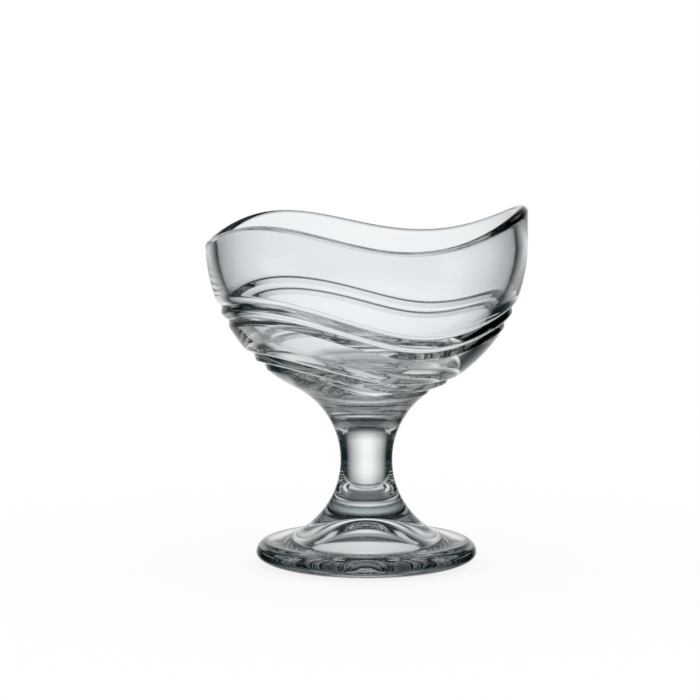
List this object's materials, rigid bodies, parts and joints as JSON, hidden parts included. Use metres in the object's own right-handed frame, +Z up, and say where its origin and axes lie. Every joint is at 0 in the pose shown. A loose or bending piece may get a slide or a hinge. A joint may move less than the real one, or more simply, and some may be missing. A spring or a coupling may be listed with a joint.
{
  "type": "footed dessert dish",
  "caption": "Footed dessert dish in clear pressed glass: round bowl with a waved rim and waved ridges round its outside, short waisted stem, round foot that is hollow underneath.",
  "frame": {"origin": "centre of the circle that the foot stands on, at table level", "axes": "+Z up along the axis of the stem; -Y is the side that the picture shows and +X is to its right, where the rim's highest wave stands"},
  "size_m": [0.11, 0.11, 0.1234],
  "materials": {
    "clear_glass": "fire-polished, clear, colourless"
  },
  "bodies": {
    "root": {"bowl": "clear_glass", "stem": "clear_glass", "foot": "clear_glass"}
  },
  "joints": []
}
